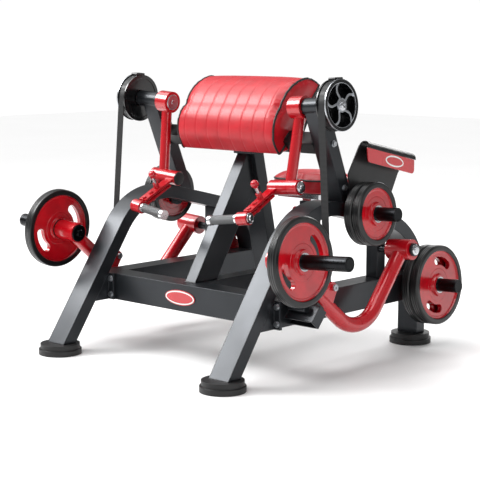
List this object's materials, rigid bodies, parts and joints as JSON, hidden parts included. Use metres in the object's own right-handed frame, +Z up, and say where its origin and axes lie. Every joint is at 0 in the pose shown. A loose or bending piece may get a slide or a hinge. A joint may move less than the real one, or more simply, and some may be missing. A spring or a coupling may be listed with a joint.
{
  "type": "plate loaded seated arm curl machine",
  "caption": "Seated preacher curl machine with an angled arm pad, two cam driven curl arms, bent weight levers that take plates, plate storage bars and a sliding seat.",
  "frame": {"origin": "on the floor, under the middle of the machine's overall box", "axes": "+X across the machine to the placard side, +Y from the arm pad towards the seat, +Z up"},
  "size_m": [1.6568, 1.2928, 1.0388],
  "materials": {
    "frame_paint": "satin metallic powder coat, anthracite grey",
    "black_paint": "fine texture black powder coat",
    "red_paint": "gloss red enamel",
    "rubber": "matt moulded rubber",
    "belt": "flat woven belt with rubber skin",
    "pad_vinyl": "upholstery vinyl with a fine grain",
    "black_board": "black stained plywood",
    "chrome_steel": "bright chrome plate",
    "bar_steel": "blackened, satin turned steel",
    "zinc_bolts": "zinc plated",
    "pull_knob": "gloss red ball knob on a chrome pin",
    "cam_black": "gloss black with bright turned edges",
    "grip_steel": "knurled grey steel",
    "plate_iron": "red enamel with a black rubber rim"
  },
  "bodies": {
    "frame": {"side_frame_left": "frame_paint", "base_side_beam_left": "frame_paint", "tower_left": "frame_paint", "pivot_post_left": "frame_paint", "storage_horn_mid_left": "bar_steel", "storage_horn_rear_left": "bar_steel", "rest_bracket_left": "frame_paint", "rest_buffer_left": "rubber", "belt_left": "belt", "side_frame_right": "frame_paint", "base_side_beam_right": "frame_paint", "tower_right": "frame_paint", "pivot_post_right": "frame_paint", "storage_horn_mid_right": "bar_steel", "storage_horn_rear_right": "bar_steel", "rest_bracket_right": "frame_paint", "rest_buffer_right": "rubber", "belt_right": "belt", "rubber_feet": "rubber", "base_front_beam": "frame_paint", "base_spine_beam": "frame_paint", "column_front_leg": "frame_paint", "column_rear_leg": "frame_paint", "pad_cross_beam": "black_paint", "preacher_pad": "pad_vinyl", "pad_board": "black_board", "seat_post": "frame_paint", "placard_sheet": "black_paint", "placard_panel": "red_paint", "front_badge": "red_paint", "frame_bolts": "zinc_bolts"},
    "seat": {"seat_stem": "chrome_steel", "seat_pad": "pad_vinyl"},
    "seat_pin": {"seat_pin": "pull_knob"},
    "arm_left": {"curl_arm_left": "red_paint", "drive_shaft_left": "chrome_steel", "cam_left": "cam_black"},
    "handle_left": {"handle_bracket_left": "red_paint"},
    "grip_left": {"grip_left": "grip_steel"},
    "plunger_left": {"index_plunger_left": "pull_knob"},
    "lever_left": {"weight_lever_left": "red_paint", "load_horn_left": "bar_steel"},
    "load_plate_left": {"load_plate_left": "plate_iron"},
    "plate_mid_inner_left": {"plate_mid_inner_left": "plate_iron"},
    "plate_mid_outer_left": {"plate_mid_outer_left": "plate_iron"},
    "plate_rear_inner_left": {"plate_rear_inner_left": "plate_iron"},
    "plate_rear_outer_left": {"plate_rear_outer_left": "plate_iron"},
    "arm_right": {"curl_arm_right": "red_paint", "drive_shaft_right": "chrome_steel", "cam_right": "cam_black"},
    "handle_right": {"handle_bracket_right": "red_paint"},
    "grip_right": {"grip_right": "grip_steel"},
    "plunger_right": {"index_plunger_right": "pull_knob"},
    "lever_right": {"weight_lever_right": "red_paint", "load_horn_right": "bar_steel"},
    "load_plate_right": {"load_plate_right": "plate_iron"},
    "plate_mid_inner_right": {"plate_mid_inner_right": "plate_iron"},
    "plate_mid_outer_right": {"plate_mid_outer_right": "plate_iron"},
    "plate_rear_inner_right": {"plate_rear_inner_right": "plate_iron"},
    "plate_rear_outer_right": {"plate_rear_outer_right": "plate_iron"}
  },
  "joints": [
    {"name": "seat_height", "type": "slide", "parent": "frame", "child": "seat", "axis": [0, 0, 1], "range_m": [0, 0.12]},
    {"name": "seat_pin_pull", "type": "slide", "parent": "frame", "child": "seat_pin", "axis": [0, -1, 0], "range_m": [0, 0.012], "stiffness_N_per_m": 1500, "springref_m": -0.006},
    {"name": "curl_left", "type": "hinge", "parent": "frame", "child": "arm_left", "pos_m": [-0.507, -0.08376, 0.941], "axis": [-0.9976, 0, 0.0698], "range_deg": [0, 125.1]},
    {"name": "lever_lift_left", "type": "hinge", "parent": "frame", "child": "lever_left", "pos_m": [-0.54467, 0.25524, 0.40231], "axis": [-0.9976, 0, 0.0698], "range_deg": [0, 24.4], "deforming": ["belt_left"]},
    {"name": "handle_reach_left", "type": "slide", "parent": "arm_left", "child": "handle_left", "axis": [-0.0313, -0.8934, -0.4482], "range_m": [0, 0.024]},
    {"name": "grip_spin_left", "type": "hinge", "parent": "handle_left", "child": "grip_left", "pos_m": [-0.18122, -0.31249, 0.53388], "axis": [0.9871, -0.1042, -0.1216], "continuous": true},
    {"name": "plunger_pull_left", "type": "slide", "parent": "arm_left", "child": "plunger_left", "axis": [0.0623, -0.4493, 0.8912], "range_m": [0, 0.016], "stiffness_N_per_m": 1000, "springref_m": -0.006},
    {"name": "load_plate_slide_left", "type": "slide", "parent": "lever_left", "child": "load_plate_left", "axis": [-0.9976, 0, 0.0698], "range_m": [0, 0.23]},
    {"name": "plate_mid_inner_left_slide", "type": "slide", "parent": "frame", "child": "plate_mid_inner_left", "axis": [-0.9986, 0, 0.0523], "range_m": [0, 0.165]},
    {"name": "plate_mid_outer_left_slide", "type": "slide", "parent": "plate_mid_inner_left", "child": "plate_mid_outer_left", "axis": [-0.9986, 0, 0.0523], "range_m": [0, 0.13]},
    {"name": "plate_rear_inner_left_slide", "type": "slide", "parent": "frame", "child": "plate_rear_inner_left", "axis": [-0.9986, 0, 0.0523], "range_m": [0, 0.165]},
    {"name": "plate_rear_outer_left_slide", "type": "slide", "parent": "plate_rear_inner_left", "child": "plate_rear_outer_left", "axis": [-0.9986, 0, 0.0523], "range_m": [0, 0.13]},
    {"name": "curl_right", "type": "hinge", "parent": "frame", "child": "arm_right", "pos_m": [0.507, -0.08376, 0.941], "axis": [-0.9976, 0, -0.0698], "range_deg": [0, 125.1]},
    {"name": "lever_lift_right", "type": "hinge", "parent": "frame", "child": "lever_right", "pos_m": [0.54467, 0.25524, 0.40231], "axis": [-0.9976, 0, -0.0698], "range_deg": [0, 24.4], "deforming": ["belt_right"]},
    {"name": "handle_reach_right", "type": "slide", "parent": "arm_right", "child": "handle_right", "axis": [0.0313, -0.8934, -0.4482], "range_m": [0, 0.024]},
    {"name": "grip_spin_right", "type": "hinge", "parent": "handle_right", "child": "grip_right", "pos_m": [0.18122, -0.31249, 0.53388], "axis": [-0.9871, -0.1042, -0.1216], "continuous": true},
    {"name": "plunger_pull_right", "type": "slide", "parent": "arm_right", "child": "plunger_right", "axis": [-0.0623, -0.4493, 0.8912], "range_m": [0, 0.016], "stiffness_N_per_m": 1000, "springref_m": -0.006},
    {"name": "load_plate_slide_right", "type": "slide", "parent": "lever_right", "child": "load_plate_right", "axis": [0.9976, 0, 0.0698], "range_m": [0, 0.23]},
    {"name": "plate_mid_inner_right_slide", "type": "slide", "parent": "frame", "child": "plate_mid_inner_right", "axis": [0.9986, 0, 0.0523], "range_m": [0, 0.165]},
    {"name": "plate_mid_outer_right_slide", "type": "slide", "parent": "plate_mid_inner_right", "child": "plate_mid_outer_right", "axis": [0.9986, 0, 0.0523], "range_m": [0, 0.13]},
    {"name": "plate_rear_inner_right_slide", "type": "slide", "parent": "frame", "child": "plate_rear_inner_right", "axis": [0.9986, 0, 0.0523], "range_m": [0, 0.165]},
    {"name": "plate_rear_outer_right_slide", "type": "slide", "parent": "plate_rear_inner_right", "child": "plate_rear_outer_right", "axis": [0.9986, 0, 0.0523], "range_m": [0, 0.13]}
  ],
  "couplings": [
    {"joint": "curl_left", "follows": "lever_lift_left", "ratio": 5.123},
    {"joint": "curl_right", "follows": "lever_lift_right", "ratio": 5.123}
  ]
}
